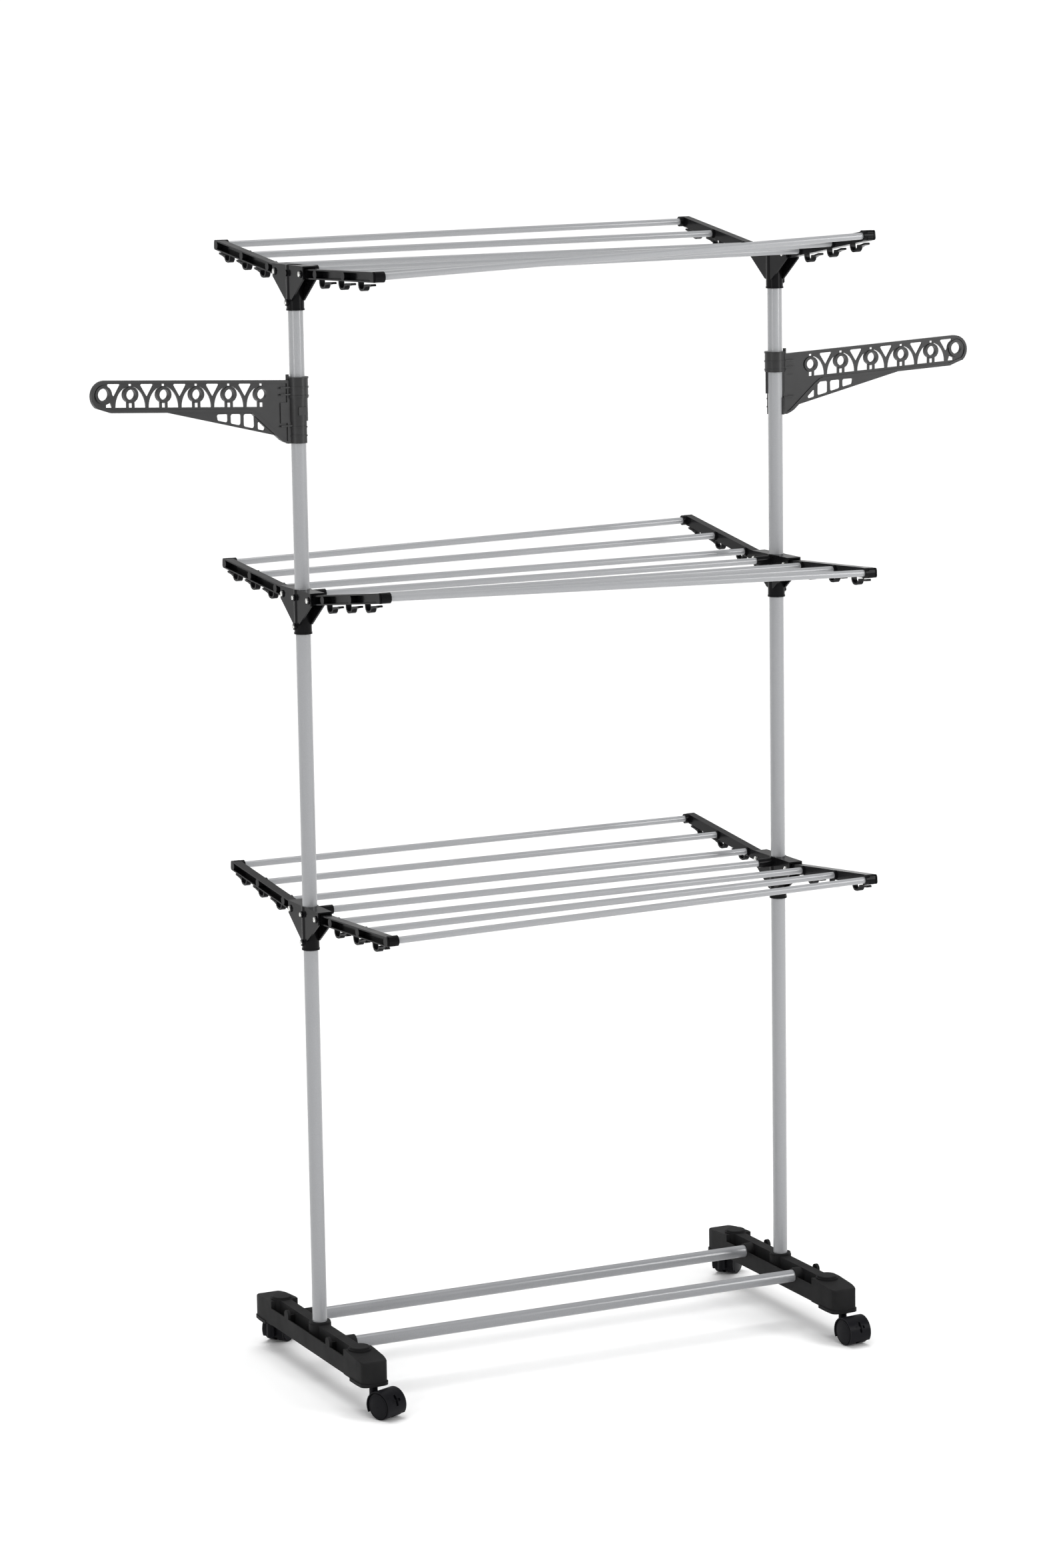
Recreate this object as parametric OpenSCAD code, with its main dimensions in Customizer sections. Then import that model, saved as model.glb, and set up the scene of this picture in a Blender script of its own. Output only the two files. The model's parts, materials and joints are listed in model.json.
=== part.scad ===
// Three-tier folding clothes drying rack on casters, with two swinging hanger arms.
// Millimetres, +Z up. The origin is on the floor under the middle of the rack.
// The two posts stand at -X (left) and +X (right). -Y is the front.

/* [Posts] */
// Distance between the two post axes
post_gap = 788; // [760:2:820]
// Outer diameter of the post tubes
post_d = 22; // [21:0.1:22]
// Wall thickness of the posts and the base bars
tube_wall = 0.9; // [0.7:0.1:1.2]
// Height of the lowest hub above the floor
first_hub_z = 660; // [600:5:700]
// Height from one hub to the next
hub_pitch = 472; // [460:2:500]

/* [Wings] */
// Outer diameter of the hanging rods
rod_d = 10; // [9:0.5:10]
// Wall thickness of the hanging rods
rod_wall = 0.6; // [0.4:0.1:1]
// Distance of the hinge pins from the post axis
pivot_y = 48; // [46:0.5:50]
// Distance from a hinge pin to the first rod of its wing
first_rod_r = 42; // [38:1:46]
// Distance from one rod to the next
rod_pitch = 101; // [96:1:104]
// Rest tilt of the front left arms above level, lowest tier first, in degrees
tilt_front_left = [2.5, 7, 1.5]; // [0:0.5:8.5]
// Rest tilt of the front right arms
tilt_front_right = [5.5, 3, 8.5]; // [0:0.5:8.5]
// Rest tilt of the back left arms
tilt_back_left = [5.5, 4.5, 6.5]; // [0:0.5:8.5]
// Rest tilt of the back right arms
tilt_back_right = [6, 8.5, 8.5]; // [0:0.5:8.5]

/* [Hanger arms] */
// Height of the foot of the hanger arms' clip above the floor
hanger_z = 1412; // [1300:2:1440]
// Distance from the post axis to the hole at a hanger arm's tip
hanger_reach = 312; // [312:1:330]
// How far the left and the right hanger arm are swung forwards at rest, in degrees
hanger_swing = [5.5, 2]; // [0:0.5:8]

/* [Base] */
// Length of a foot beam
beam_l = 424; // [418:1:430]
// Width of a foot beam at its end blocks
beam_w = 46.5; // [46:0.5:50]
// Outer diameter of the two base bars
bar_d = 19; // [17:0.5:19]
// Distance of the base bars from the post axis
bar_y = 80; // [74:1:86]
// Diameter of the caster wheels
wheel_d = 41; // [39:0.5:41]

/* [Hidden] */
$fn = 64;
NEAR = 0.05; // clearance round a part that is pressed or pinned in
RUN = 0.06; // running clearance round a hinge pin

post_x = post_gap / 2;
post_r = post_d / 2;
rod_r = rod_d / 2;
bar_r = bar_d / 2;
wheel_r = wheel_d / 2;
hub_z = [for (tier = [0:2]) first_hub_z + tier * hub_pitch];

// Hub, measured from the post axis and the foot of its collar
collar_r = post_r + 1.9;
collar_lip = 0.6;
plate_out = 11.2;
plate_in = 8.6;
hub_half_l = 57;
hub_roof = 63.6;
hub_top = 65.9;
gusset_low = 14;
gusset_high = 47;
gusset_foot = 10;
seat_z = 30;
seat_h = 2;
pivot_rise = 54.5;
collar_screw_z = 11.5;
middle_screw_z = 54;
centre_rod_z = 57;
centre_boss_l = 36;
centre_bore_l = 20;
screw_seat = 15;
screw_boss_r = 4.8;
bolt_boss_r = 5.4;

// Arm, measured from its hinge pin
arm_h = 14.6;
arm_half_t = 6.5;
knuckle_half_t = 8.4;
boss_r = 7.2;
tip_boss_r = 7.8;
tip_boss_l = 12.5;
small_boss_l = 9;
lens_r = 6.4;
flange = 2;
web_in = -3.5;
rod_stop = 4.3;
pin_r = 2;
rod_at = [for (i = [0:2]) first_rod_r + i * rod_pitch];
hook_at = [for (i = [0:2]) 52 + i * 70];
hook_w = 8;
hook_strap = 3;
hook_r = 9.6;
hook_flat = 4.5;

// Foot beam
beam_bottom = 49;
skirt_bottom = 44.5;
beam_top = 86;
floor_z = 66;
wall_top = 75;
wall_t = 1.6;
lip = 1.2;
beam_half_w = beam_w / 2 - lip;
ridge_half_w = 8.5;
ridge_top = 87;
block_y = 140;
lip_y = 164;
cap_y = 150;
cap_seat = 87.8;
socket_floor = 52;
socket_top = 90;
bar_z = 74.6;
bar_stop = 5;
bar_boss_r = 12.2;
tab_r = 7.7;
tab_t = 4.5;
tab_top = 88;
tab_web_top = 80;
block_fall = 4.5;

// Caster, measured from its stem axis
stem_y = beam_l / 2 - 13;
stem_r = 4;
trail = 26;
neck_r = 6.3;
neck_top = 44.3;
hood_r = wheel_r + 2.3;
hood_in = wheel_r + 0.5;
hood_half_w = 18.5;
web_half_t = 2.5;
axle_r = 3;

// Hanger arm, measured from the post axis and the foot of its clip
hanger_ring_at = [for (i = [0:4]) 60 + i * 52.25];
hanger_root_top = 92;
hanger_rise = 0.053;
hanger_h = 46;
web_t = 3.6;
rail_t = 7;
ring_t = 8;
clip_r = 15.6;

BLACK = "#1c1c1d";
BEAM_BLACK = "#2b2b2c";
GREY = "#a9abad";
ZINC = "#d5d6d4";

SIDES = [[-1, "left"], [1, "right"]];
WINGS = [[-1, "front"], [1, "back"]];

// ---------- Places ----------

// Puts its children at a post, with +X pointing away from the other post.
module at_post(side, z = 0) {
    translate([side * post_x, 0, z])
        flip([1, 0, 0], side < 0) children();
}

// Mirrors its children across the plane with the given normal, if asked to.
module flip(normal, on) {
    if (on) {
        mirror(normal) children();
    } else {
        children();
    }
}

// Puts its children at an arm's hinge pin, with +Y running along the arm.
module at_arm(tier, wing, side) {
    at_post(side, hub_z[tier] + pivot_rise)
        flip([0, 1, 0], wing < 0)
            translate([0, pivot_y, 0])
                rotate([tilt(tier, wing, side), 0, 0]) children();
}

// Points its children's Z axis from one point to another.
module along(from, to) {
    way = to - from;
    translate(from)
        rotate([0, acos(way[2] / norm(way)), atan2(way[1], way[0])]) children();
}

// Lays its children's Z axis along +X.
module lay_x() {
    rotate([0, 90, 0]) children();
}

// Draws a side-view outline in Y and Z, centred on X with the given thickness.
module side_plate(thickness) {
    rotate([90, 0, 90]) linear_extrude(thickness, center = true) children();
}

function tilt(tier, wing, side) =
    wing < 0
        ? (side < 0 ? tilt_front_left[tier] : tilt_front_right[tier])
        : (side < 0 ? tilt_back_left[tier] : tilt_back_right[tier]);

// Where rod number i of a wing crosses the middle plane of one arm
function rod_point(tier, wing, side, i) =
    let (a = tilt(tier, wing, side), r = rod_at[i])
    [side * post_x, wing * (pivot_y + r * cos(a)), hub_z[tier] + pivot_rise + r * sin(a)];

// The end of that rod, a little way past the arm's middle plane
function rod_end(tier, wing, side, i, past) =
    let (
        here = rod_point(tier, wing, side, i),
        there = rod_point(tier, wing, -side, i)
    )
    here + (here - there) / norm(here - there) * past;

// ---------- Tubes ----------

module tube(r, wall, length) {
    difference() {
        cylinder(r = r, h = length);
        translate([0, 0, -1]) cylinder(r = r - wall, h = length + 2);
    }
}

// One of the three lengths of a post, counted from the floor.
module post(side, tier) {
    foot = tier == 0 ? socket_floor : hub_z[tier - 1] + seat_z + seat_h;
    head = hub_z[tier] + seat_z;
    color(GREY)
        difference() {
            at_post(side, foot) tube(post_r, tube_wall, head - foot);
            at_post(side, hub_z[tier] + collar_screw_z) post_screw_hole();
            if (tier > 0) {
                at_post(side, hub_z[tier - 1] + middle_screw_z) post_screw_hole();
            }
        }
}

module post_screw_hole() {
    lay_x() cylinder(r = 1.8 + NEAR, h = 20);
}

module base_bar(wing) {
    half_l = post_x + bar_stop;
    color(GREY)
        translate([-half_l, wing * bar_y, bar_z])
            lay_x() tube(bar_r, tube_wall, 2 * half_l);
}

module centre_rod(tier) {
    half_l = post_x - centre_boss_l + centre_bore_l - 0.2;
    color(GREY)
        translate([-half_l, 0, hub_z[tier] + centre_rod_z])
            lay_x() tube(rod_r, rod_wall, 2 * half_l);
}

// The three rods that join the two arms of one wing.
module wing_rods(tier, wing) {
    color(GREY)
        for (i = [0:2]) {
            from = rod_end(tier, wing, -1, i, rod_stop);
            to = rod_end(tier, wing, 1, i, rod_stop);
            along(from, to) tube(rod_r, rod_wall, norm(to - from));
        }
}

// ---------- Hub ----------

module hub(side, tier) {
    color(BLACK)
        at_post(side, hub_z[tier])
            difference() {
                hub_body();
                hub_bores(tier < 2);
            }
}

module hub_body() {
    cylinder(r = collar_r, h = hub_top);
    cylinder(r = collar_r + collar_lip, h = 2.5);
    for (x = [plate_in, -plate_out]) {
        translate([x + (plate_out - plate_in) / 2, 0, 0])
            side_plate(plate_out - plate_in) gusset_outline();
    }
    translate([-plate_out, -hub_half_l, hub_roof])
        cube([2 * plate_out, 2 * hub_half_l, hub_top - hub_roof]);
    for (y = [-pivot_y, pivot_y]) {
        translate([plate_in, y, pivot_rise]) lay_x() cylinder(r = bolt_boss_r, h = 4);
    }
    for (z = [collar_screw_z, middle_screw_z]) {
        translate([post_r, 0, z]) lay_x() cylinder(r = screw_boss_r, h = screw_seat - post_r);
    }
    translate([-centre_boss_l, 0, centre_rod_z])
        lay_x() cylinder(r = 7, h = centre_boss_l - post_r);
}

// The V-shaped cheek: wide at the roof, narrowing to the collar
module gusset_outline() {
    polygon([
        [-hub_half_l, hub_top], [hub_half_l, hub_top], [hub_half_l, gusset_high],
        [gusset_foot, gusset_low], [-gusset_foot, gusset_low], [-hub_half_l, gusset_high]
    ]);
}

module hub_bores(middle_screw) {
    translate([0, 0, -1]) cylinder(r = post_r + NEAR, h = seat_z + 1);
    cylinder(r = post_r - 1.6, h = seat_z + seat_h + 1);
    translate([0, 0, seat_z + seat_h]) cylinder(r = post_r + NEAR, h = hub_top);
    for (y = [-pivot_y, pivot_y]) {
        translate([-20, y, pivot_rise]) lay_x() cylinder(r = pin_r + NEAR, h = 40);
    }
    translate([0, 0, collar_screw_z]) post_screw_hole();
    if (middle_screw) {
        translate([0, 0, middle_screw_z]) post_screw_hole();
    }
    translate([-centre_boss_l - 1, 0, centre_rod_z])
        lay_x() cylinder(r = rod_r + NEAR, h = centre_bore_l + 1);
}

// ---------- Screws ----------

// A pan head with a cross recess, its seat at the origin and its crown at +Z
module pan_head(r, h) {
    difference() {
        rotate_extrude()
            difference() {
                intersection() {
                    square([r, h]);
                    translate([0, h - 2.2 * r]) circle(r = 2.2 * r);
                }
                translate([r, h]) circle(r = 0.9);
            }
        for (a = [0, 90]) {
            rotate([0, 0, a]) translate([-r * 0.55, -0.4, h - 0.9]) cube([r * 1.1, 0.8, 2]);
        }
    }
}

// Self-tapping screws that hold the hubs on one post
module post_screws(side) {
    color(ZINC)
        for (tier = [0:2]) {
            heights = tier < 2 ? [collar_screw_z, middle_screw_z] : [collar_screw_z];
            for (z = heights) {
                at_post(side, hub_z[tier] + z)
                    translate([screw_seat, 0, 0]) lay_x() {
                        pan_head(3.2, 2.3);
                        translate([0, 0, -8]) cylinder(r = 1.8, h = 8.01);
                    }
            }
        }
}

// Bolts that the arms of one side hinge on
module hinge_bolts(side) {
    shank = 2 * plate_out + 6;
    color(ZINC)
        for (tier = [0:2]) {
            for (y = [-pivot_y, pivot_y]) {
                at_post(side, hub_z[tier] + pivot_rise)
                    translate([plate_in + 4, y, 0]) lay_x() {
                        pan_head(3.8, 2.4);
                        translate([0, 0, -shank]) cylinder(r = pin_r, h = shank + 0.01);
                    }
            }
        }
}

module hinge_nuts(side) {
    color(ZINC)
        for (tier = [0:2]) {
            for (y = [-pivot_y, pivot_y]) {
                at_post(side, hub_z[tier] + pivot_rise)
                    translate([-plate_out - 3.2, y, 0]) lay_x()
                        difference() {
                            cylinder(r = 4.04, h = 3.2, $fn = 6);
                            translate([0, 0, -1]) cylinder(r = pin_r + 0.02, h = 6);
                        }
            }
        }
}

// ---------- Arms ----------

module arm(tier, wing, side) {
    color(BLACK)
        difference() {
            at_arm(tier, wing, side) arm_body();
            for (i = [0:2]) {
                from = rod_end(tier, wing, side, i, rod_stop + 0.2);
                to = rod_end(tier, wing, side, i, -40);
                along(from, to) cylinder(r = rod_r + NEAR, h = 45);
            }
        }
}

module arm_body() {
    difference() {
        union() {
            side_plate(2 * arm_half_t) arm_outline();
            translate([-knuckle_half_t, 0, 0])
                lay_x() cylinder(r = arm_h / 2, h = 2 * knuckle_half_t);
            for (i = [0:1]) {
                translate([-small_boss_l, rod_at[i], 0]) lay_x() cylinder(r = boss_r, h = small_boss_l);
            }
            translate([-tip_boss_l, rod_at[2], 0])
                lay_x() cylinder(r = tip_boss_r, h = tip_boss_l + arm_half_t - 3.4);
            for (r = hook_at) {
                translate([0, r, -arm_h / 2]) hook();
            }
        }
        lay_x() cylinder(r = pin_r + RUN, h = 40, center = true);
        arm_channel();
        tip_groove();
    }
}

// A bar with a round knuckle and a blunt round-cornered tip
module arm_outline() {
    corner = 4;
    tip = rod_at[2] + arm_h / 2;
    circle(r = arm_h / 2);
    polygon(concat(
        [[0, -arm_h / 2]],
        [for (a = [-90:15:0]) [tip - corner, corner - arm_h / 2] + corner * unit(a)],
        [for (a = [0:15:90]) [tip - corner, arm_h / 2 - corner] + corner * unit(a)],
        [[0, arm_h / 2]]
    ));
}

// The deep channel in the arm's outer face, left solid round the knuckle and the rods' ends
module arm_channel() {
    depth = arm_half_t - web_in;
    inner_h = arm_h - 2 * flange;
    translate([web_in + depth, 0, 0]) side_plate(2 * depth)
        difference() {
            translate([arm_h / 2 + 2, -inner_h / 2]) square([rod_at[2] - arm_h / 2 - 2, inner_h]);
            for (r = rod_at) {
                translate([r, 0]) circle(r = lens_r);
            }
        }
}

// A narrow groove round the arm's tip, just behind its outer face
module tip_groove() {
    translate([arm_half_t - 2.8, 0, 0]) side_plate(1.2)
        difference() {
            translate([rod_at[2], -arm_h]) square([arm_h, 2 * arm_h]);
            translate([rod_at[2], 0]) circle(r = lens_r);
        }
}

// A J-shaped hook hung from the origin, its mouth and lip towards the arm's tip
module hook() {
    top = -3;
    span = 2 * hook_r + hook_flat;
    side_plate(hook_w) {
        translate([0, top]) square([hook_strap, 0.2 - top]);
        difference() {
            hook_bowl(hook_r, top);
            hook_bowl(hook_r - hook_strap, top);
            translate([-1, top]) square([span + 2, hook_r + 1]);
        }
        polygon([
            [span - hook_strap, top - 0.2], [span + 2.5, top - 0.8], [43, -2.3], [45.5, -3.3],
            [44.5, -5.4], [32, -5.8], [span, top - 4.2], [span - hook_strap, top - 2.5]
        ]);
    }
}

module hook_bowl(r, top) {
    for (y = [hook_r, hook_r + hook_flat]) {
        translate([y, top]) circle(r = r);
    }
    translate([hook_r, top - r]) square([hook_flat, 2 * r]);
}

// ---------- Hanger arms ----------

// The left arm is the same part as the right one, turned half round.
module hanger_arm(side) {
    color(BLACK)
        translate([side * post_x, 0, hanger_z])
            rotate([0, 0, side < 0 ? 180 + hanger_swing[0] : -hanger_swing[1]])
                difference() {
                    hanger_body();
                    translate([0, 0, -1]) cylinder(r = post_r + 0.07, h = 120);
                    for (s = hanger_ring_at) {
                        hanger_bore(s, 7.5);
                    }
                    hanger_bore(hanger_reach, 9);
                }
}

// A point of the hanger arm in side view: s out from the post, d down from the top edge
function hp(s, d) = [s, hanger_root_top + (s - 20) * hanger_rise - d];

// Draws a side-view outline in X and Z, centred on Y with the given thickness.
module front_plate(thickness) {
    rotate([90, 0, 0]) linear_extrude(thickness, center = true) children();
}

module hanger_bore(s, r) {
    front_plate(40) translate(hp(s, 20)) circle(r = r);
}

module hanger_body() {
    front_plate(web_t)
        difference() {
            hanger_outline();
            for (i = [0:4]) {
                hanger_arch_windows(hanger_ring_at[i], i > 0);
            }
            for (i = [0:4]) {
                hanger_triangle_window(hanger_ring_at[i] + 26.1);
            }
            hanger_tip_window();
            hanger_gusset_windows();
        }
    front_plate(rail_t) hanger_rails();
    for (s = hanger_ring_at) {
        front_plate(ring_t) translate(hp(s, 20)) circle(r = 11.5);
    }
    front_plate(ring_t) translate(hp(hanger_reach, 20)) circle(r = 13);
    hanger_clip();
}

module hanger_outline() {
    tip = hp(hanger_reach - 3, 22);
    polygon(concat(
        [hp(12, 0), hp(hanger_reach - 3, 0)],
        [for (a = [90:-10:-50]) tip + 22 * [cos(a), sin(a)]],
        [hp(hanger_reach - 11, hanger_h), hp(212, hanger_h), hp(32, 81), hp(24, 90), [18, 0], [12, 0]]
    ));
}

// Raised edges: along the top, round the tip, back along the bottom and down to the clip
module hanger_rails() {
    rail = 4.2;
    tip = hp(hanger_reach - 3, 22);
    polygon([hp(12, 0), hp(hanger_reach - 3, 0), hp(hanger_reach - 3, rail), hp(12, rail)]);
    polygon(concat(
        [for (a = [90:-10:-50]) tip + 22 * [cos(a), sin(a)]],
        [for (a = [-50:10:90]) tip + (22 - rail) * [cos(a), sin(a)]]
    ));
    polygon([
        hp(hanger_reach + 11.5, 38.6), hp(hanger_reach - 11, hanger_h), hp(80, hanger_h),
        hp(80, hanger_h - rail), hp(hanger_reach - 12.5, hanger_h - rail), hp(hanger_reach + 8, 35.6)
    ]);
    polygon([
        hp(84, 41.8), hp(76, 43), hp(67, 49), hp(24, 86), [12, 0], [18, 0],
        hp(24, 90), hp(30, 87), hp(69, 54), hp(77, 47), hp(84, 46)
    ]);
}

// The openings on both sides of a ring, under an arch, and the two slots in line with it
module hanger_arch_windows(s, both) {
    foot = 38.5;
    span = 24.2;
    rise = 30.5;
    start = both ? 180 : 90;
    difference() {
        polygon(concat(
            [for (a = [0:10:start]) hp(s + span * cos(a), foot - rise * sin(a))],
            both ? [] : [hp(s, foot)]
        ));
        translate(hp(s, 20)) circle(r = 11);
        polygon([hp(s - 6, 20), hp(s + 6, 20), hp(s + 6, 40), hp(s - 6, 40)]);
        polygon([hp(s - 4.5, 4), hp(s + 4.5, 4), hp(s + 4.5, 20), hp(s - 4.5, 20)]);
    }
    polygon([hp(s - 3, 32), hp(s + 3, 32), hp(s + 3, foot), hp(s - 3, foot)]);
    polygon([hp(s - 2.6, 4.6), hp(s + 2.6, 4.6), hp(s + 2.6, 7.8), hp(s - 2.6, 7.8)]);
}

module hanger_triangle_window(s) {
    difference() {
        polygon(rounded([hp(s - 11.5, 4.8), hp(s + 11.5, 4.8), hp(s, 24)], 1.6));
        translate(hp(hanger_reach, 20)) circle(r = 12.5);
    }
}

module hanger_tip_window() {
    s = hanger_reach;
    polygon([hp(s - 14, hanger_h - 7.5), hp(s - 4, hanger_h - 7.5), hp(s - 4, 34.5), hp(s - 11.5, 31)]);
}

module hanger_gusset_windows() {
    polygon(rounded([hp(133, 49), hp(114.5, 48.5), hp(114.5, 61), hp(131.5, 57.7)], 2.5));
    polygon(rounded([hp(110.5, 48.5), hp(93, 48.5), hp(93.5, 65.3), hp(110.5, 62)], 3));
    polygon(rounded([hp(89.5, 48.5), hp(72, 48.5), hp(71.5, 69.7), hp(89.5, 66.3)], 3));
    polygon(rounded([hp(67, 57.5), hp(54.5, 68.8), hp(56.5, 72.7), hp(67, 70.7)], 2));
}

// The clip that hugs the post: a closed ring on top, an open shell and a lip below
module hanger_clip() {
    translate([0, 0, 65]) cylinder(r = clip_r, h = 31);
    for (z = [67, 80, 93.5]) {
        translate([0, 0, z]) cylinder(r = clip_r + 0.8, h = 2.5);
    }
    ring_sector(clip_r - 1, -15, 160, 32, 66);
    ring_sector(clip_r - 1.8, -10, 128, 0, 33);
    ring_sector(clip_r - 1, -10, 128, 10, 12.2);
    ring_sector(clip_r - 1, -10, 128, 22.5, 24.7);
    ring_sector(clip_r - 1.4, -53, 10, 0, 26);
    translate([-7, clip_r - 4, 41]) cube([13.5, 4, 12]);
    translate([12, -rail_t / 2, 0]) cube([7, rail_t, hanger_root_top]);
    translate([12, -rail_t / 2, 30]) cube([18, rail_t, 30]);
    for (z = [25, 70.5, 80.5]) {
        translate([12, -6, z]) cube([18.5, 12, 2]);
    }
    translate([16.2, 0, hanger_root_top - 3]) cylinder(r = 2.5, h = 11);
}

// Part of a ring round the post, from angle a0 to a1 and from z0 to z1
module ring_sector(r, a0, a1, z0, z1) {
    translate([0, 0, z0]) linear_extrude(z1 - z0)
        intersection() {
            circle(r = r);
            polygon(concat([[0, 0]], [for (i = [0:8]) 2 * r * unit(a0 + (a1 - a0) * i / 8)]));
        }
}

function unit(a) = [cos(a), sin(a)];

// The outline p with every corner rounded to radius r
function rounded(p, r) = [
    for (i = [0:len(p) - 1])
        each corner_arc(p[(i + len(p) - 1) % len(p)], p[i], p[(i + 1) % len(p)], r)
];

function corner_arc(before, at, after, r) =
    let (
        u = (before - at) / norm(before - at),
        v = (after - at) / norm(after - at),
        half = acos(u * v) / 2,
        centre = at + (u + v) / norm(u + v) * r / sin(half),
        start = at + u * r / tan(half) - centre,
        end = at + v * r / tan(half) - centre,
        from = atan2(start[1], start[0]),
        turn = (atan2(end[1], end[0]) - from + 540) % 360 - 180
    )
    [for (k = [0:4]) centre + r * unit(from + turn * k / 4)];

// ---------- Base ----------

module foot_beam(side) {
    color(BEAM_BLACK)
        at_post(side)
            difference() {
                beam_body();
                translate([0, 0, socket_floor]) cylinder(r = post_r + NEAR, h = 60);
                for (y = [-bar_y, bar_y]) {
                    translate([-60, y, bar_z])
                        lay_x() cylinder(r = bar_r + NEAR, h = 60 + bar_stop + 0.2);
                }
                for (end = [-1, 1]) {
                    flip([0, 1, 0], end < 0) beam_end_cuts();
                }
            }
}

module beam_body() {
    translate([-beam_half_w, -block_y - 2, beam_bottom])
        cube([2 * beam_half_w, 2 * block_y + 4, floor_z - beam_bottom]);
    for (x = [-beam_half_w, beam_half_w - wall_t]) {
        translate([x, -block_y - 2, floor_z - 1])
            cube([wall_t, 2 * block_y + 4, wall_top - floor_z + 1]);
    }
    translate([-ridge_half_w, -block_y - 2, floor_z - 1])
        cube([2 * ridge_half_w, 2 * block_y + 4, ridge_top - floor_z + 1]);
    cylinder_between(17, beam_bottom, socket_top - 3);
    cylinder_between(16.2, beam_bottom, socket_top);
    for (y = [-bar_y, bar_y]) {
        translate([0, y, 0]) bar_boss();
    }
    for (end = [-1, 1]) {
        flip([0, 1, 0], end < 0) end_block();
    }
}

module cylinder_between(r, z0, z1) {
    translate([0, 0, z0]) cylinder(r = r, h = z1 - z0);
}

// The round boss that holds a base bar, and the half-round tab in the beam's outer wall
module bar_boss() {
    translate([-beam_half_w / 2, 0, 0]) side_plate(beam_half_w)
        arch(bar_boss_r, bar_z);
    translate([beam_half_w - tab_t / 2, 0, 0]) side_plate(tab_t)
        arch(tab_r, tab_top - tab_r);
    translate([ridge_half_w - 1, -1.5, floor_z - 1])
        cube([beam_half_w - ridge_half_w, 3, tab_web_top - floor_z + 1]);
}

// A round-topped upright with its feet in the beam's floor
module arch(r, z) {
    translate([-r, beam_bottom]) square([2 * r, z - beam_bottom]);
    translate([0, z]) circle(r = r);
}

// The block at a beam's end: its top falls towards the blunt nose, with a low lip and a cap seat
module end_block() {
    w = beam_w / 2;
    tip = beam_l / 2;
    difference() {
        translate([0, 0, beam_bottom - 1])
            linear_extrude(beam_top - beam_bottom + 1) nose_outline(w - lip, block_y, tip - lip);
        translate([-w, tip - lip, beam_bottom])
            rotate([5, 0, 0]) cube([2 * w, 20, 60]);
        translate([-w, cap_y, beam_top])
            rotate([-block_fall, 0, 0]) cube([2 * w, 80, 20]);
    }
    translate([0, 0, skirt_bottom])
        linear_extrude(beam_bottom - skirt_bottom + 0.5) nose_outline(w, lip_y, tip);
    translate([0, cap_y, 0]) cylinder_between(17.2, beam_bottom, cap_seat);
}

// The plan of an end block: straight flanks and a blunt round-cornered nose
module nose_outline(w, start, tip) {
    corner = 10;
    taper = 1;
    bulge = 1.5;
    shoulder = tip - 24;
    polygon(concat(
        [[-w, start], [w, start], [w, shoulder]],
        [for (a = [10:10:80]) [w - taper - corner, tip - corner - bulge] + corner * unit(a)],
        [[0, tip]],
        [for (a = [100:10:170]) [-w + taper + corner, tip - corner - bulge] + corner * unit(a)],
        [[-w, shoulder]]
    ));
}

// Hollows under one half of the beam, the hole for the cap and the hole for the caster stem
module beam_end_cuts() {
    inner_w = beam_half_w - 3;
    for (span = [[19, bar_y - 14], [bar_y + 14, cap_y - 24]]) {
        translate([-inner_w, span[0], skirt_bottom - 1])
            cube([2 * inner_w, span[1] - span[0], floor_z - 3 - skirt_bottom + 1]);
        translate([-ridge_half_w + 3, span[0], floor_z - 4])
            cube([2 * ridge_half_w - 6, span[1] - span[0], ridge_top - floor_z + 1]);
    }
    translate([-inner_w, block_y + 3, skirt_bottom - 1])
        cube([2 * inner_w, cap_y + 18 - block_y, beam_top - 14 - skirt_bottom + 1]);
    translate([0, cap_y, beam_top - 10]) cylinder(r = 4 + NEAR, h = 20);
    translate([0, stem_y, skirt_bottom - 1]) cylinder(r = stem_r + 0.04, h = 36);
}

// Round caps pressed into the tops of the end blocks
module foot_caps() {
    color(BEAM_BLACK)
        for (side = [-1, 1]) {
            for (y = [-cap_y, cap_y]) {
                at_post(side) translate([0, y, cap_seat]) {
                    rotate_extrude()
                        intersection() {
                            square([15, 3]);
                            union() {
                                square([13.6, 3]);
                                translate([13.6, 1.6]) circle(r = 1.4);
                                square([15, 1.6]);
                            }
                        }
                    translate([0, 0, -10]) cylinder(r = 4, h = 10.01);
                }
            }
        }
}

// ---------- Casters ----------

// Front casters trail forwards; back casters trail inwards and back.
function caster_turn(wing, side) =
    wing < 0 ? (side < 0 ? -68 : -84) : (side < 0 ? 34 : 38);

// Puts its children at a caster's stem, with +X along the way the wheels trail.
module at_caster(wing, side) {
    translate([side * post_x, wing * stem_y, 0])
        rotate([0, 0, caster_turn(wing, side)]) children();
}

module at_axle() {
    translate([trail, 0, wheel_r]) rotate([90, 0, 0]) children();
}

module caster_hood(wing, side) {
    color(BLACK)
        at_caster(wing, side)
            difference() {
                union() {
                    at_axle() linear_extrude(2 * hood_half_w, center = true) hood_arc(hood_r, hood_in);
                    at_axle() linear_extrude(2 * web_half_t, center = true) hood_arc(hood_r, 0);
                    translate([0, 0, 12]) cylinder(r = neck_r, h = neck_top - 12);
                }
                at_axle() linear_extrude(60, center = true) circle(r = axle_r + NEAR);
                translate([0, 0, 20]) cylinder(r = stem_r + NEAR, h = 40);
                wheel_room();
                hood_cross();
            }
}

// Side view of the hood, open at the bottom
module hood_arc(outer, inner) {
    difference() {
        circle(r = outer);
        circle(r = inner);
        polygon(concat([[0, -4]], [for (i = [0:6]) 2 * outer * unit(205 + i * 21)]));
    }
}

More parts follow.
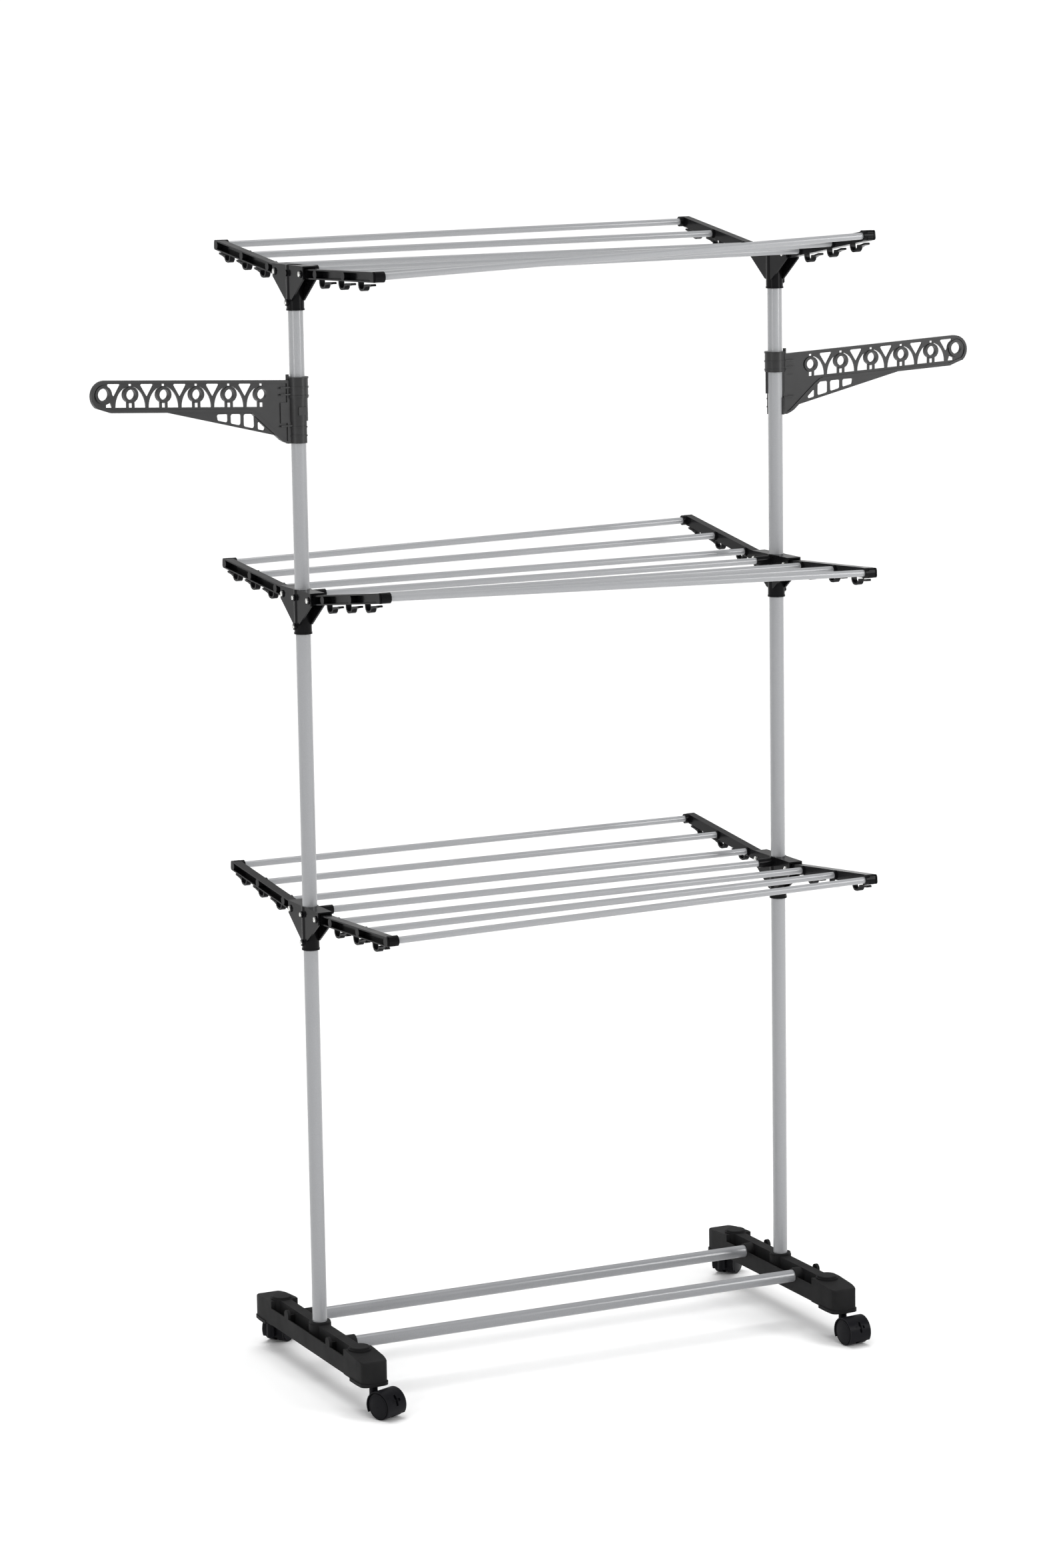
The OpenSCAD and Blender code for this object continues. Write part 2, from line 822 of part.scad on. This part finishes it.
// Space that the two wheels turn in
module wheel_room() {
    for (y = [-1, 1]) {
        translate([0, y * (web_half_t + 15), 0])
            at_axle() linear_extrude(30, center = true) circle(r = hood_in);
    }
}

// Cross-shaped slot in the back of the hood
module hood_cross() {
    translate([trail, 0, wheel_r]) rotate([0, -26, 0]) {
        translate([hood_in - 2, -2.2, -8.5]) cube([8, 4.4, 17]);
        translate([hood_in - 2, -8, -2.2]) cube([8, 16, 4.4]);
    }
}

// Steel stem and axle of one caster
module caster_pins(wing, side) {
    axle_half_l = 14;
    color(ZINC)
        at_caster(wing, side) {
            translate([0, 0, 20]) cylinder(r = stem_r, h = 58);
            at_axle() cylinder(r = axle_r, h = 2 * axle_half_l, center = true);
        }
}

module caster_wheels(wing, side) {
    color(BLACK)
        at_caster(wing, side)
            for (face = [-1, 1]) {
                at_axle() flip([0, 0, 1], face < 0) wheel();
            }
}

// One wheel, its open side at the hood's web and its domed disc at the outside
module wheel() {
    inner = web_half_t + 0.3;
    outer = hood_half_w - 0.6;
    translate([0, 0, inner])
        difference() {
            rotate_extrude()
                difference() {
                    union() {
                        translate([0, outer - inner - 3]) square([wheel_r - 2, 3]);
                        translate([wheel_r - 3.5, 0]) square([2.5, outer - inner - 1]);
                        translate([wheel_r - 3.5, 1]) square([3.5, outer - inner - 2.8]);
                        square([6, outer - inner]);
                        intersection() {
                            translate([0, outer - inner - 100]) circle(r = 101.4, $fn = 128);
                            square([wheel_r - 3, 30]);
                            translate([0, outer - inner - 3]) square([wheel_r, 10]);
                        }
                    }
                    translate([wheel_r - 4.2, outer - inner - 0.2]) square([0.8, 3]);
                }
            translate([0, 0, -1]) cylinder(r = axle_r + 0.04, h = 12.5);
        }
}

// ---------- Assembly ----------

for (s = SIDES) {
    foot_beam(s[0]);
    post_screws(s[0]);
    hinge_bolts(s[0]);
    hinge_nuts(s[0]);
    hanger_arm(s[0]);
}
foot_caps();
for (w = WINGS) {
    base_bar(w[0]);
}
for (w = WINGS) for (s = SIDES) {
    caster_hood(w[0], s[0]);
    caster_pins(w[0], s[0]);
    caster_wheels(w[0], s[0]);
}
for (t = [0:2]) {
    centre_rod(t);
    for (s = SIDES) {
        post(s[0], t);
        hub(s[0], t);
    }
    for (w = WINGS) {
        wing_rods(t, w[0]);
        for (s = SIDES) {
            arm(t, w[0], s[0]);
        }
    }
}
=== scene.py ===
import json
import math

import bmesh
import bpy
from mathutils import Matrix, Vector


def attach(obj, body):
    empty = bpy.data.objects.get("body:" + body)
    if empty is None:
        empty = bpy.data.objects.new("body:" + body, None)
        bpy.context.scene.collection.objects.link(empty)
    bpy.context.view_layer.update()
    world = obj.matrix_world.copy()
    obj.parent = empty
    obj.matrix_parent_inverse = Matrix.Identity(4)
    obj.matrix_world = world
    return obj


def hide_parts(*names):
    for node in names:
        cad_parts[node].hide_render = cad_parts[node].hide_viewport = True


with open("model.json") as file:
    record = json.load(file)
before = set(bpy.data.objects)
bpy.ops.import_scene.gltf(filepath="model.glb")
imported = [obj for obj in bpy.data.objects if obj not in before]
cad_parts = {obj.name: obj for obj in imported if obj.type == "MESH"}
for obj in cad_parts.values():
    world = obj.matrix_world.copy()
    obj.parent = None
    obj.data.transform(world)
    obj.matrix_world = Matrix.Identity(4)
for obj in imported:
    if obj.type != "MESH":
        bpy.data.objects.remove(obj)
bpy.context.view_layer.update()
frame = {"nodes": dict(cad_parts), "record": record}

MM = 0.001
SIDES = ("left", "right")
WINGS = ("front", "back")
TIERS = (1, 2, 3)

# ---------- Camera ----------

CAMERA_AZIMUTH = math.radians(-25.27)
CAMERA_ELEVATION = math.radians(9.82)
CAMERA_ROLL = math.radians(-0.91)
CAMERA_DISTANCE = 6.777
CAMERA_AIM_HEIGHT = 0.8744
CAMERA_AIM_SIDE = -0.0388
CAMERA_LENS = 103.0
CAMERA_SENSOR = 36.0
CAMERA_REACH = 500.0


def add_camera():
    """A long lens in front of the rack's left corner, a little above the middle tier."""
    a, e, roll = CAMERA_AZIMUTH, CAMERA_ELEVATION, CAMERA_ROLL
    back = Vector((math.sin(a) * math.cos(e), -math.cos(a) * math.cos(e), math.sin(e)))
    level = Vector((math.cos(a), math.sin(a), 0.0))
    upright = back.cross(level)
    right = level * math.cos(roll) + upright * math.sin(roll)
    up = upright * math.cos(roll) - level * math.sin(roll)
    place = Matrix((right, up, back)).transposed().to_4x4()
    aim = Vector((0.0, 0.0, CAMERA_AIM_HEIGHT)) + level * CAMERA_AIM_SIDE
    place.translation = aim + back * CAMERA_DISTANCE

    data = bpy.data.cameras.new("camera")
    data.lens = CAMERA_LENS
    data.sensor_width = CAMERA_SENSOR
    data.clip_end = CAMERA_REACH
    camera = bpy.data.objects.new("camera", data)
    bpy.context.collection.objects.link(camera)
    camera.matrix_world = place
    bpy.context.scene.camera = camera


# ---------- Light and floor ----------

# Brightness of the horizon, how much of it is left higher up, and how high the change lies
HORIZON = 1.08
SKY = 0.48
BAND_TOP = 0.03
SKY_START = 0.16

CEILING_DIRECTION = (0.0, 0.2, 1.0)
CEILING_STRENGTH = 1.85
CEILING_SPREAD = math.radians(46)

# Name, place, size and power of each strip light; both look at the same point of the rack
STRIP_AIM = (0.0, 0.0, 1.3)
STRIPS = (
    ("left_strip", (-3.6, -1.6, 2.3), (0.5, 2.4), 30),
    ("right_strip", (2.7, -3.4, 2.4), (1.1, 2.4), 80),
)

FLOOR_REACH = 90.0
FLOOR_COLOUR = (0.97, 0.97, 0.97)
FLOOR_ROUGHNESS = 0.95
FLOOR_SPECULAR = 0.2


def add_strip(name, place, size, power):
    """An upright rectangle of white light that puts a highlight along the tubes."""
    data = bpy.data.lights.new(name, "AREA")
    data.shape = "RECTANGLE"
    data.size, data.size_y = size
    data.energy = power
    light = bpy.data.objects.new(name, data)
    bpy.context.collection.objects.link(light)
    light.location = place
    aim = Vector(STRIP_AIM) - Vector(place)
    light.rotation_euler = aim.to_track_quat("-Z", "Y").to_euler()


def add_world():
    """A dim white sky that brightens to a white band along the horizon."""
    world = bpy.data.worlds.new("studio")
    bpy.context.scene.world = world
    world.use_nodes = True
    tree = world.node_tree
    place = tree.nodes.new("ShaderNodeTexCoord")
    axes = tree.nodes.new("ShaderNodeSeparateXYZ")
    ramp = tree.nodes.new("ShaderNodeValToRGB")
    stops = ramp.color_ramp.elements
    stops[0].position, stops[0].color = BAND_TOP, (1.0, 1.0, 1.0, 1.0)
    stops[1].position, stops[1].color = SKY_START, (SKY, SKY, SKY, 1.0)
    tree.links.new(place.outputs["Generated"], axes.inputs["Vector"])
    tree.links.new(axes.outputs["Z"], ramp.inputs["Fac"])
    tree.links.new(ramp.outputs["Color"], tree.nodes["Background"].inputs["Color"])
    tree.nodes["Background"].inputs["Strength"].default_value = HORIZON


def add_ceiling():
    """A sun so wide that it lights the whole floor evenly and casts no hard shadow."""
    data = bpy.data.lights.new("ceiling", "SUN")
    data.energy = CEILING_STRENGTH
    data.angle = CEILING_SPREAD
    light = bpy.data.objects.new("ceiling", data)
    bpy.context.collection.objects.link(light)
    light.rotation_euler = Vector(CEILING_DIRECTION).to_track_quat("Z", "Y").to_euler()


def add_floor():
    """A wide pale floor whose far edge meets the white band of the horizon."""
    mesh = bpy.data.meshes.new("floor")
    r = FLOOR_REACH
    corners = [(-r, -r, 0), (r, -r, 0), (r, r, 0), (-r, r, 0)]
    mesh.from_pydata(corners, [], [(0, 1, 2, 3)])
    floor = bpy.data.objects.new("floor", mesh)
    bpy.context.collection.objects.link(floor)
    material = new_material("floor", FLOOR_COLOUR, FLOOR_ROUGHNESS)
    shader_of(material).inputs["Specular IOR Level"].default_value = FLOOR_SPECULAR
    mesh.materials.append(material)


def add_lights():
    add_world()
    add_ceiling()
    for strip in STRIPS:
        add_strip(*strip)


# ---------- Materials ----------

GREY_TUBE = (0.295, 0.3, 0.31)
# Painted shade: the base bars take a darker copy of the same grey paint, standing in for the
# lower light that falls on them near the floor
GREY_TUBE_PAINTED_SHADE = (0.24, 0.245, 0.255)
GLOSS_BLACK = (0.0055, 0.0055, 0.006)
HANGER_BLACK = (0.02, 0.02, 0.0205)
BEAM_BLACK = (0.0145, 0.0145, 0.0148)
CASTER_BLACK = (0.006, 0.006, 0.0075)
ZINC = (0.82, 0.82, 0.8)

# How far the powder coat's colour wanders from its mean, and its lacquer
MOTTLING = 0.01
LACQUER_WEIGHT = 0.7
LACQUER_ROUGHNESS = 0.12

# The second scale of the fine grain on moulded plastic, relative to the first
GRAIN_RATIO = 2.6

# Where the noise that drives a variation starts and ends its change
NOISE_LOW = 0.3
NOISE_HIGH = 0.7


def shader_of(material):
    return material.node_tree.nodes["Principled BSDF"]


def new_material(name, colour, roughness, metallic=0.0):
    material = bpy.data.materials.new(name)
    material.use_nodes = True
    shader = shader_of(material)
    shader.inputs["Base Color"].default_value = (*colour, 1.0)
    shader.inputs["Roughness"].default_value = roughness
    shader.inputs["Metallic"].default_value = metallic
    return material


def node(material, kind, **inputs):
    made = material.node_tree.nodes.new(kind)
    for name, value in inputs.items():
        made.inputs[name.replace("_", " ")].default_value = value
    return made


def link(material, from_node, output, to_node, entry):
    material.node_tree.links.new(from_node.outputs[output], to_node.inputs[entry])


def noise(material, scale, detail):
    """Noise over the object's own space, scale in features to the metre."""
    place = node(material, "ShaderNodeTexCoord")
    made = node(material, "ShaderNodeTexNoise", Scale=scale, Detail=detail)
    link(material, place, "Object", made, "Vector")
    return made


def add_bump(material, scales, height):
    """Fine surface texture: noise of one or two scales, height in metres."""
    source = noise(material, scales[0], 2.0)
    out = "Fac"
    if len(scales) > 1:
        second = noise(material, scales[1], 2.0)
        blend = node(material, "ShaderNodeMath")
        blend.operation = "ADD"
        link(material, source, "Fac", blend, 0)
        link(material, second, "Fac", blend, 1)
        source, out = blend, "Value"
    bump = node(material, "ShaderNodeBump", Strength=1.0, Distance=height)
    link(material, source, out, bump, "Height")
    link(material, bump, "Normal", shader_of(material), "Normal")


def add_variation(material, entry, scale, low, high):
    """Drives one of the shader's sockets by slow noise between two values or two colours."""
    source = noise(material, scale, 4.0)
    ramp = node(material, "ShaderNodeValToRGB")
    stops = ramp.color_ramp.elements
    stops[0].position, stops[1].position = NOISE_LOW, NOISE_HIGH
    for stop, value in zip(stops, (low, high)):
        colour = value if isinstance(value, tuple) else (value, value, value)
        stop.color = (*colour, 1.0)
    link(material, source, "Fac", ramp, "Fac")
    link(material, ramp, "Color", shader_of(material), entry)


def powder_coat(name, colour):
    """Satin powder coat: faint orange peel and the slightest mottling."""
    material = new_material(name, colour, 0.4)
    shader = shader_of(material)
    shader.inputs["Coat Weight"].default_value = LACQUER_WEIGHT
    shader.inputs["Coat Roughness"].default_value = LACQUER_ROUGHNESS
    low = tuple(c - MOTTLING for c in colour)
    high = tuple(c + MOTTLING for c in colour)
    add_variation(material, "Base Color", 700.0, low, high)
    add_variation(material, "Roughness", 900.0, 0.36, 0.46)
    add_bump(material, (1500.0, 4200.0), 0.000008)
    return material


def moulded_plastic(name, colour, roughness, ior, grain, height):
    """Moulded plastic: fine grain, and a sheen that changes slowly over the part."""
    material = new_material(name, colour, roughness)
    shader_of(material).inputs["IOR"].default_value = ior
    add_variation(material, "Roughness", 30.0, roughness - 0.04, roughness + 0.05)
    low = tuple(c * 0.9 for c in colour)
    high = tuple(c * 1.12 for c in colour)
    add_variation(material, "Base Color", 45.0, low, high)
    add_bump(material, (grain, grain * GRAIN_RATIO), height)
    return material


def zinc_plate():
    """Bright zinc plating, a little uneven in its shine."""
    material = new_material("zinc", ZINC, 0.24, metallic=1.0)
    add_variation(material, "Roughness", 900.0, 0.16, 0.34)
    add_bump(material, (3000.0,), 0.00001)
    return material


def make_materials():
    """One material for each slot of the record, and a lighter black for the hanger arms."""
    plastics = (
        ("black_gloss", GLOSS_BLACK, 0.2, 1.16, 1800.0, 0.000003),
        ("hanger_satin", HANGER_BLACK, 0.36, 1.38, 1800.0, 0.000003),
        ("beam_black", BEAM_BLACK, 0.55, 1.14, 2600.0, 0.00003),
        ("caster_black", CASTER_BLACK, 0.36, 1.16, 2200.0, 0.00001),
    )
    made = {plastic[0]: moulded_plastic(*plastic) for plastic in plastics}
    made["grey_tube"] = powder_coat("grey_tube", GREY_TUBE)
    # Painted shade: the base bars get the tube's grey paint, darkened to stand in for the
    # lower light near the floor
    made["grey_base_tube"] = powder_coat("grey_base_tube", GREY_TUBE_PAINTED_SHADE)
    made["zinc"] = zinc_plate()
    return made


# ---------- Pieces ----------

# Two points nearer than this are one, and two faces nearer to flat than this are one
SAME_POINT = 0.01 * MM
SAME_PLANE = math.radians(0.5)
SHARP_EDGE = math.radians(32.0)

EDGE_ROUND = 0.5 * MM
BEAM_EDGE_ROUND = 0.8 * MM

# The wide round along the rim of a foot beam's end block, and where that rim lies
RIM_ROUND = 3.0 * MM
RIM_SEGMENTS = 4
NOSE_START = 190 * MM
NOSE_BOTTOM = 70 * MM


def body_of(name):
    """The CAD body that a node belongs to."""
    for body, nodes in frame["record"]["behaviour"]["bodies"].items():
        if name in nodes:
            return body
    raise KeyError(name)


def slot_of(name):
    """The record's material slot of a node."""
    for part in frame["record"]["subparts"]:
        if part["node"] == name:
            return part["material_slot"]
    raise KeyError(name)


def on_nose(point):
    """Whether a point is on the nose of a foot beam's end block, above its foot."""
    return abs(point.y) > NOSE_START and point.z > NOSE_BOTTOM


def round_rim(edit, on_rim):
    """Gives a wide round to the sharp edges that have both ends on the rim."""
    chosen = [
        edge
        for edge in edit.edges
        if edge.calc_face_angle(0.0) > SHARP_EDGE and all(on_rim(v.co) for v in edge.verts)
    ]
    bmesh.ops.bevel(
        edit,
        geom=chosen,
        offset=RIM_ROUND,
        segments=RIM_SEGMENTS,
        profile=0.5,
        affect="EDGES",
        clamp_overlap=True,
    )


def refined(name, bevel, segments=2, on_rim=None):
    """A copy of a CAD node with its sharp edges rounded, standing for that node."""
    mesh = frame["nodes"][name].data.copy()
    edit = bmesh.new()
    edit.from_mesh(mesh)
    bmesh.ops.remove_doubles(edit, verts=edit.verts, dist=SAME_POINT)
    bmesh.ops.dissolve_limit(edit, angle_limit=SAME_PLANE, verts=edit.verts, edges=edit.edges)
    if on_rim:
        round_rim(edit, on_rim)
    edit.to_mesh(mesh)
    edit.free()
    mesh.name = name + "_shape"
    piece = bpy.data.objects.new(name + "_piece", mesh)
    bpy.context.collection.objects.link(piece)
    mesh.materials.clear()
    mesh.materials.append(MATERIALS[slot_of(name)])
    for face in mesh.polygons:
        face.use_smooth = True
    round_edges = piece.modifiers.new("round_edges", "BEVEL")
    round_edges.width = bevel
    round_edges.segments = segments
    round_edges.limit_method = "ANGLE"
    round_edges.angle_limit = SHARP_EDGE
    even_shading = piece.modifiers.new("even_shading", "WEIGHTED_NORMAL")
    even_shading.mode = "FACE_AREA"
    even_shading.weight = 100
    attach(piece, body_of(name))
    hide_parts(name)


def repaint_cad():
    """Gives every node that keeps its CAD shape the material of its slot."""
    for name, thing in frame["nodes"].items():
        look = "hanger_satin" if name.startswith("hanger_arm") else slot_of(name)
        for entry in thing.material_slots:
            entry.material = MATERIALS[look]


add_camera()
add_floor()
add_lights()
bpy.context.scene.view_settings.view_transform = "Standard"
MATERIALS = make_materials()
repaint_cad()

for side in SIDES:
    refined(f"foot_beam_{side}", BEAM_EDGE_ROUND, 3, on_rim=on_nose)
    for tier in TIERS:
        refined(f"hub_{side}_{tier}", EDGE_ROUND)
        for wing in WINGS:
            refined(f"arm_{wing}_{side}_{tier}", EDGE_ROUND)

bpy.context.view_layer.update()
